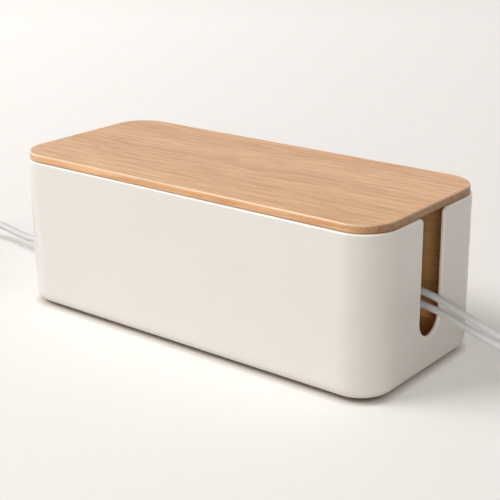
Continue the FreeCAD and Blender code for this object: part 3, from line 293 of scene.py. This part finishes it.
for name, cord in cords.items():
    on_way = [[Vector(point) / 1000 for point in cord[part]] for part in ("run", "tail")]
    points = on_way[0] + coil_points(cord["coil"]) + on_way[1]
    curve = bpy.data.curves.new(name, "CURVE")
    curve.dimensions = "3D"
    spline = curve.splines.new("NURBS")
    spline.points.add(len(points) - 1)
    for spot, point in zip(spline.points, points):
        spot.co = (*point, 1)
    spline.order_u = 3
    spline.use_endpoint_u = True
    curve.resolution_u = 6
    curve.bevel_depth = cord["diameter"] / 2
    curve.bevel_resolution = 6
    curve.use_fill_caps = True
    curve.materials.append(jacket)
    cable = bpy.data.objects.new(name, curve)
    bpy.context.scene.collection.objects.link(cable)
    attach(cable, "box")
    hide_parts(name + "_run", name + "_coil", name + "_tail")
    tie = make_tie(name + "_tape", cord["coil"], cord["diameter"], cord["tie_degrees"])
    tie.data.materials.append(tie_fabric)
    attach(tie, "box")
    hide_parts(name + "_tie")


def dress(material, *names):
    """Gives the CAD nodes their finish."""
    for name in names:
        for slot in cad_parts[name].material_slots:
            slot.material = material


# Box shell. One moulding in warm off-white plastic with a satin sparked skin, a round bottom edge and
# a rounded rim; both ends have an open U for the cords.
shell_plastic = finish_of("shell_plastic", moulded_skin,
                          {"Colour": (0.87, 0.845, 0.812, 1), "Unevenness": 0.015, "Roughness": 0.4,
                           "Grain": 1300}, 0.00002, Coat_Roughness=0.25)
# The free edges, round the slots and along the rim, carry a painted highlight that makes them paler, and a
# glossier coat.
slot_centre_height, slot_half_width, box_end, rim_height = 0.0435, 0.0135, 0.165, 0.117
tree = shell_plastic.node_tree
spot = place_on(tree)
below = maths(tree, "MINIMUM", maths(tree, "SUBTRACT", spot[2], slot_centre_height))
from_slot = length_of(tree, spot[1], below)
at_end = ranged(tree, maths(tree, "ABSOLUTE", spot[0]), box_end - 0.004, box_end - 0.003, 0, 1)
slot_edge_highlight = maths(tree, "MULTIPLY", at_end,
                   ranged(tree, from_slot, slot_half_width + 0.0004, slot_half_width + 0.0011, 1, 0))
edge_highlight_and_gloss = maths(tree, "MAXIMUM", slot_edge_highlight,
                 ranged(tree, spot[2], rim_height - 0.0012, rim_height - 0.0007, 0, 1))
shader = tree.nodes["Principled BSDF"]
plain = shader.inputs["Base Color"].links[0].from_socket
# Painted highlight: the base colour turns near white on the slot and rim edges.
tree.links.new(mixed(tree, edge_highlight_and_gloss, plain, (0.98, 0.965, 0.94, 1)), shader.inputs["Base Color"])
tree.links.new(ranged(tree, edge_highlight_and_gloss, 0, 1, 0.5, 1), shader.inputs["Coat Weight"])
dress(shell_plastic, "box_shell")


# Lid. A 6 mm board of pale oak, grain along its length, edges eased, finished with matt oil. Two cleats
# screwed under it drop inside the rim and stop it sliding.
sawn_wood, given = pattern_group("sawn_wood", ["Position", "Colour", "Second Colour", "Figure", "Roughness"])
grown = node(sawn_wood, "Mapping", {"Vector": given["Position"], "Scale": (0.07, 1, 1)}).outputs[0]
rings = node(sawn_wood, "TexWave", {"Vector": grown, "Scale": 52, "Distortion": 5, "Detail": 3,
                                    "Detail Scale": 22, "Detail Roughness": 0.6},
             wave_type="RINGS", rings_direction="X", wave_profile="SIN")
streaks = node(sawn_wood, "TexNoise", {"Vector": grown, "Scale": 400, "Detail": 5, "Roughness": 0.6,
                                       "Distortion": 0.5})
broad = node(sawn_wood, "TexNoise", {"Vector": grown, "Scale": 38, "Detail": 3})
hairs = node(sawn_wood, "Mapping", {"Vector": given["Position"], "Scale": (24, 900, 900)}).outputs[0]
pores = node(sawn_wood, "TexNoise", {"Vector": hairs, "Scale": 1.3, "Detail": 2})
figure = maths(sawn_wood, "ADD", ranged(sawn_wood, rings.outputs[1], 0, 1, 0, 0.16),
               ranged(sawn_wood, streaks.outputs[0], 0.38, 0.68, 0, 0.6))
figure = maths(sawn_wood, "ADD", figure, ranged(sawn_wood, broad.outputs[0], 0.35, 0.65, 0, 0.24))
figure = maths(sawn_wood, "MULTIPLY", figure, given["Figure"], use_clamp=True)
grain = mixed(sawn_wood, figure, given["Colour"], given["Second Colour"])
open_pores = ranged(sawn_wood, pores.outputs[0], 0.58, 0.72, 0, 0.4)
give(sawn_wood, Colour=mixed(sawn_wood, open_pores, grain, given["Second Colour"]),
     Roughness=maths(sawn_wood, "ADD", given["Roughness"], ranged(sawn_wood, figure, 0, 1, -0.04, 0.08)),
     Height=maths(sawn_wood, "SUBTRACT", streaks.outputs[0], open_pores))
oiled_oak = finish_of("lid_wood", sawn_wood,
                      {"Colour": (0.95, 0.58, 0.305, 1), "Second Colour": (0.56, 0.25, 0.095, 1), "Figure": 0.9,
                       "Roughness": 0.46}, 0.00006, turned=(0, math.radians(0.8), math.radians(-1.2)),
                      moved=(0, 0.12, -0.02), Coat_Roughness=0.2)
# The side faces near the two ends are darker, partly end grain and partly painted shade of the shaded end,
# and a painted shade line darkens the underside's edge. The eased top edge carries a painted highlight and
# a thicker, glossier film of oil.
lid_under, lid_top, lid_end = 0.117, 0.123, 0.1635
lid_corner_middle, lid_corner_radius = (0.138, 0.044), 0.0255
tree = oiled_oak.node_tree
spot = place_on(tree)
outward = maths(tree, "ABSOLUTE", spot[0])
from_middle = past_middle(tree, spot, *lid_corner_middle)
eased = maths(tree, "MULTIPLY",
              ranged(tree, from_middle, lid_corner_radius - 0.0013, lid_corner_radius - 0.0009, 0, 1),
              ranged(tree, spot[2], lid_top - 0.0016, lid_top - 0.0011, 0, 1))
on_side = maths(tree, "MULTIPLY", ranged(tree, spot[2], lid_top - 0.0008, lid_top - 0.0003, 1, 0),
                ranged(tree, spot[2], lid_under + 0.0001, lid_under + 0.0004, 0, 1))
# End grain and painted shade: the side faces near the ends are darkened.
end_grain_and_painted_shade = maths(tree, "MULTIPLY", ranged(tree, outward, lid_end - 0.0195, lid_end - 0.0035, 0, 1), on_side)
shader = tree.nodes["Principled BSDF"]
along = shader.inputs["Base Color"].links[0].from_socket
grain_and_shade_colour = mixed(tree, end_grain_and_painted_shade, along, mixed(tree, 1, along, (0.47, 0.45, 0.41, 1), "MULTIPLY"))
# Painted shade: a dark line along the underside's edge, where the lid sits on the rim.
painted_shade_line = maths(tree, "MULTIPLY",
                   ranged(tree, from_middle, lid_corner_radius - 0.002, lid_corner_radius - 0.0012, 0, 1),
                   ranged(tree, spot[2], lid_under + 0.0003, lid_under + 0.001, 0.75, 0))
grain_and_shade_colour = mixed(tree, painted_shade_line, grain_and_shade_colour, (0.16, 0.085, 0.04, 1))
# Painted highlight: the eased top edge is made paler, most along the long sides.
painted_edge_highlight = maths(tree, "MULTIPLY", eased, ranged(tree, outward, lid_end - 0.0135, lid_end - 0.0035, 0.45, 0.1))
highlighted_colour = mixed(tree, painted_edge_highlight, grain_and_shade_colour, (0.97, 0.76, 0.52, 1))
tree.links.new(highlighted_colour, shader.inputs["Base Color"])
tree.links.new(ranged(tree, eased, 0, 1, 0.15, 0.9), shader.inputs["Coat Weight"])
dress(oiled_oak, "lid_panel", "lid_cleat_front", "lid_cleat_back")


# Screws. Zinc-plated cross-head screws hold the cleats under the lid and the strip's case together.
rolled_metal, given = pattern_group("rolled_metal", ["Position", "Colour", "Tarnish", "Roughness"])
drawn = node(rolled_metal, "Mapping", {"Vector": given["Position"], "Scale": (60, 1600, 1600)}).outputs[0]
lines = node(rolled_metal, "TexNoise", {"Vector": drawn, "Scale": 1, "Detail": 4})
blotch = node(rolled_metal, "TexNoise", {"Vector": given["Position"], "Scale": 160, "Detail": 5})
aged = maths(rolled_metal, "MULTIPLY", ranged(rolled_metal, blotch.outputs[0], 0.45, 0.75, 0, 1),
             given["Tarnish"])
give(rolled_metal, Colour=mixed(rolled_metal, aged, given["Colour"], (0.16, 0.11, 0.07, 1)),
     Roughness=maths(rolled_metal, "ADD", given["Roughness"],
                     ranged(rolled_metal, lines.outputs[0], 0.3, 0.7, -0.06, 0.1)),
     Height=lines.outputs[0])
zinc = finish_of("screw_steel", rolled_metal, {"Colour": (0.60, 0.61, 0.62, 1), "Tarnish": 0.15,
                                               "Roughness": 0.32}, 0.000012, Metallic=1)
dress(zinc, "lid_screws", "strip_screws")


# Lining and floor. Thin boards of pale veneered ply stand against the inside of the walls and lie
# on the ribs of the shell's floor; the lining is notched where the slots are.
pale_veneer = finish_of("lining_wood", sawn_wood,
                        {"Colour": (0.92, 0.545, 0.22, 1), "Second Colour": (0.60, 0.26, 0.08, 1),
                         "Figure": 0.6, "Roughness": 0.6}, 0.00005, turned=(0.1, 0, 0), moved=(0, 0.14, 0.02))
dress(pale_veneer, "lining_front", "lining_back", "floor_board")


# Feet. Four round pads of dark rubber pressed into the underside keep the box off the table.
foot_rubber = finish_of("foot_rubber", moulded_skin, {"Colour": (0.035, 0.034, 0.033, 1), "Unevenness": 0.3,
                                                      "Roughness": 0.78, "Grain": 2200}, 0.00004)
dress(foot_rubber, "foot_left_front", "foot_left_back", "foot_right_front", "foot_right_back")


# Power strip. A two-part case in white sparked plastic, screwed together from below, with three round
# socket wells, and spring contacts on brass bars inside.
strip_plastic = finish_of("strip_plastic", moulded_skin, {"Colour": (0.80, 0.80, 0.79, 1), "Unevenness": 0.03,
                                                          "Roughness": 0.38, "Grain": 1600}, 0.00002)
dress(strip_plastic, "strip_base", "strip_cover", "switch_housing")
shutter_plastic = finish_of("shutter_plastic", moulded_skin,
                            {"Colour": (0.17, 0.17, 0.175, 1), "Unevenness": 0.1, "Roughness": 0.5,
                             "Grain": 1500}, 0.00003)
dress(shutter_plastic, "shutter_left", "shutter_spare", "shutter_right")
brass = finish_of("contact_brass", rolled_metal, {"Colour": (0.76, 0.55, 0.23, 1), "Tarnish": 0.35,
                                                  "Roughness": 0.3}, 0.00002, Metallic=1)
dress(brass, "live_bar", "neutral_bar", "earth_bar", "switch_terminals")


# Inner wires. Short lengths of insulated core join the mains lead to the switch and the bars: brown for
# live, blue for neutral and green for earth.
for slot_name, colour, wires in (("core_brown", (0.13, 0.045, 0.018, 1), ("live_wire", "switched_wire")),
                                 ("core_blue", (0.02, 0.10, 0.42, 1), ("neutral_wire",)),
                                 ("core_green", (0.06, 0.30, 0.05, 1), ("earth_wire",))):
    core = finish_of(slot_name, moulded_skin, {"Colour": colour, "Unevenness": 0.1, "Roughness": 0.36,
                                               "Grain": 2000}, 0.00002)
    dress(core, *wires)


# Rocker switch. A polished red rocker on a pivot in a snap-in housing, pad-printed with I and O.
rocker_red = finish_of("rocker_plastic", moulded_skin, {"Colour": (0.42, 0.018, 0.014, 1), "Unevenness": 0.08,
                                                        "Roughness": 0.2, "Grain": 1200}, 0.000006,
                       Coat_Weight=0.3)
dress(rocker_red, "switch_rocker")
rocker_pivot, rocker_tilt, face_slope = Vector((-0.108, 0, 0.05)), math.radians(8), math.atan2(1.5, 4.2)
mark_white = finish_of("switch_marks", moulded_skin, {"Colour": (0.85, 0.85, 0.84, 1), "Unevenness": 0.05,
                                                      "Roughness": 0.45, "Grain": 3000}, 0.000004)
for name, side in (("switch_mark_on", -1), ("switch_mark_off", 1)):
    bpy.ops.object.select_all(action="DESELECT")
    if name == "switch_mark_off":
        bpy.ops.mesh.primitive_torus_add(major_radius=0.0014, minor_radius=0.0003, major_segments=48,
                                         minor_segments=8)
        bpy.context.object.scale = (1, 1, 0.2)
    else:
        bpy.ops.mesh.primitive_cube_add(size=1)
        bpy.context.object.scale = (0.0006, 0.0032, 0.00012)
    mark = bpy.context.object
    mark.name = name
    bpy.ops.object.transform_apply()
    edge = mark.modifiers.new("Edge", "BEVEL")
    edge.width, edge.segments = 0.00003, 2
    bpy.ops.object.modifier_apply(modifier=edge.name)
    slope = Matrix.Rotation(-side * face_slope, 4, "Y")
    on_rocker = Matrix.Translation((side * 0.0071, 0, 0.00485))
    mark.matrix_world = (Matrix.Translation(rocker_pivot) @ Matrix.Rotation(rocker_tilt, 4, "Y")
                         @ on_rocker @ slope)
    bpy.ops.object.transform_apply()
    bpy.ops.object.shade_smooth_by_angle(angle=math.radians(40))
    mark.data.materials.append(mark_white)
    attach(mark, "rocker")


# Strain relief. A soft grey sleeve moulded on the mains lead is gripped by the strip's end wall.
relief_grey = finish_of("mains_gland", moulded_skin, {"Colour": (0.50, 0.505, 0.51, 1), "Unevenness": 0.08,
                                                      "Roughness": 0.5, "Grain": 1400}, 0.00003)
dress(relief_grey, "mains_gland")


# Plugs and connectors. Two flat two-pin plugs sit in the strip; each device lead ends in a small two-hole
# connector and the mains lead in a round earthed plug. Their pins are nickel plated.
plug_plastic = finish_of("plug_plastic", moulded_skin, {"Colour": (0.54, 0.545, 0.55, 1), "Unevenness": 0.05,
                                                        "Roughness": 0.44, "Grain": 1500}, 0.00003)
dress(plug_plastic, "plug_left", "plug_right", "left_lead_connector", "right_lead_connector", "mains_plug")
nickel = finish_of("pin_metal", rolled_metal, {"Colour": (0.72, 0.70, 0.66, 1), "Tarnish": 0.12,
                                               "Roughness": 0.2}, 0.00001, Metallic=1)
dress(nickel, "plug_left_pins", "plug_right_pins", "mains_plug_pins")


# Studio. A pale warm floor that runs back out of the picture, with a painted shadow darkening its colour under
# the box; a large soft lamp at the upper left, a smaller one at the front, a low one at the left, and an even
# pale room.
bpy.ops.object.select_all(action="DESELECT")
bpy.ops.mesh.primitive_plane_add(size=14, location=(0, 0, 0))
floor = bpy.context.object
floor.name = "studio_floor"
floor_paint = bpy.data.materials.new("studio_floor")
floor_paint.use_nodes = True
tree = floor_paint.node_tree
paper = tree.nodes["Principled BSDF"]
paper.inputs["Roughness"].default_value = 0.8
# The floor glows a little: less toward the right, more toward the back, and not in the shade. Only the
# camera and reflections see this glow, so it lights nothing.
shade_corner_middle, shade_inner, shade_outer = (0.140, 0.046), 0.0155, 0.027
across = node(tree, "SeparateXYZ", {"Vector": node(tree, "Mapping", {
    "Vector": node(tree, "TexCoord", {}).outputs["Object"], "Rotation": (0, 0, -view_azimuth)}).outputs[0]})
falling = ranged(tree, across.outputs[0], -0.9, 0.5, 0.315, 0.205)
receding = ranged(tree, across.outputs[1], 0.1, 1.5, 0, 0.14)
open_floor = ranged(tree, past_middle(tree, place_on(tree), *shade_corner_middle),
                    shade_inner, shade_outer, 0, 1)
# Painted shadow: the floor's colour turns dark brown under the box.
tree.links.new(mixed(tree, open_floor, (0.40, 0.32, 0.24, 1), (0.78, 0.764, 0.749, 1)),
               paper.inputs["Base Color"])
rays = node(tree, "LightPath", {}).outputs
seen = maths(tree, "MAXIMUM", rays["Is Camera Ray"], rays["Is Glossy Ray"])
glow = maths(tree, "MULTIPLY", maths(tree, "MULTIPLY", seen, maths(tree, "ADD", falling, receding)),
             open_floor)
lit = node(tree, "Emission", {"Color": (1, 0.97, 0.945, 1), "Strength": glow})
both = node(tree, "AddShader", {0: paper.outputs[0], 1: lit.outputs[0]})
tree.links.new(both.outputs[0], tree.nodes["Material Output"].inputs["Surface"])
floor.data.materials.append(floor_paint)


def soft_lamp(name, place, aim, width, power, colour):
    """A square soft box at a place, turned to face the object."""
    lamp = bpy.data.lights.new(name, "AREA")
    lamp.size, lamp.energy, lamp.color = width, power, colour
    stand = bpy.data.objects.new(name, lamp)
    stand.location = place
    stand.rotation_euler = (Vector(aim) - Vector(place)).to_track_quat("-Z", "Y").to_euler()
    bpy.context.scene.collection.objects.link(stand)


soft_lamp("key_lamp", (-2.15, -2.15, 3.7), (0, 0, 0.05), 2.2, 136, (1, 0.996, 0.992))
soft_lamp("front_lamp", (3.65, -5.5, 2), (0.165, 0, 0.06), 1, 90, (1, 0.96, 0.9))
soft_lamp("left_lamp", (-4.8, -1.3, 1.2), (-0.1, 0, 0.06), 1.4, 40, (1, 0.995, 0.985))
# The room that the camera and reflections see is paler and brighter than the one that lights the part.
room = bpy.data.worlds.new("studio_room")
room.use_nodes = True
tree = room.node_tree
rays = node(tree, "LightPath", {}).outputs
shown = maths(tree, "MAXIMUM", rays["Is Camera Ray"], rays["Is Glossy Ray"])
tree.links.new(ranged(tree, shown, 0, 1, 0.25, 0.95), tree.nodes["Background"].inputs["Strength"])
tree.links.new(mixed(tree, shown, (1, 0.905, 0.79, 1), (1, 0.975, 0.945, 1)),
               tree.nodes["Background"].inputs["Color"])
bpy.context.scene.world = room
bpy.context.scene.view_settings.view_transform = "Standard"
